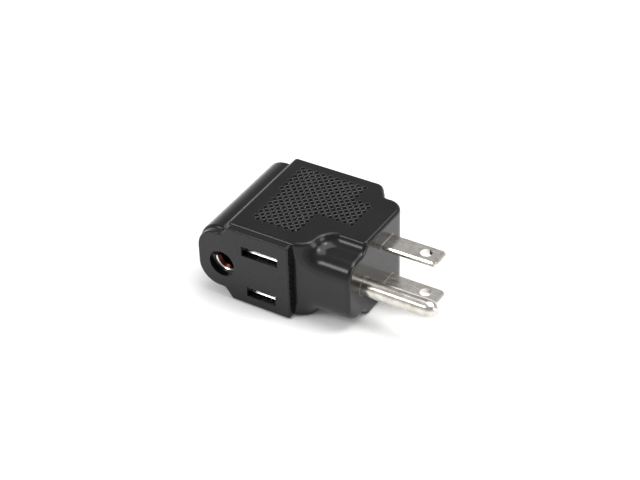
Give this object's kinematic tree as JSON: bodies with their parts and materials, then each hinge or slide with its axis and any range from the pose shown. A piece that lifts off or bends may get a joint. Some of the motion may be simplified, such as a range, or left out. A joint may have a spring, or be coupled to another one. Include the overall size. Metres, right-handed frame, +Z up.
{
  "type": "right angle plug adapter",
  "caption": "Flat right-angle grounded plug adapter: a moulded body with knurled grips, a socket on its front, and parallel blades with a round ground pin on its side.",
  "frame": {"origin": "centre of the bounding box's underside, on the surface the adapter lies on", "axes": "+X the way the plug's blades point, -Y the way the socket faces, +Z up with the adapter lying on its flat side"},
  "size_m": [0.067, 0.037, 0.0232],
  "materials": {
    "black_gloss": "glossy moulded",
    "black_inner": "moulded",
    "fibre": "pressed fibre",
    "nickel": "bright nickel plate",
    "contact_plated": "plated strip",
    "contact_brass": "bright strip",
    "link_brass": "strip"
  },
  "bodies": {
    "root": {"housing": "black_gloss", "socket_cover": "black_gloss", "contact_carrier": "black_inner", "blade_carrier": "black_inner", "divider": "fibre", "hot_blade": "nickel", "neutral_blade": "nickel", "ground_pin": "nickel", "hot_contact": "contact_plated", "neutral_contact": "contact_plated", "ground_contact": "contact_brass", "hot_link": "link_brass", "neutral_link": "link_brass", "ground_link": "link_brass", "blade_rivets": "link_brass", "contact_rivets": "link_brass", "ground_pin_rivet": "link_brass", "ground_contact_rivet": "link_brass"}
  },
  "joints": []
}
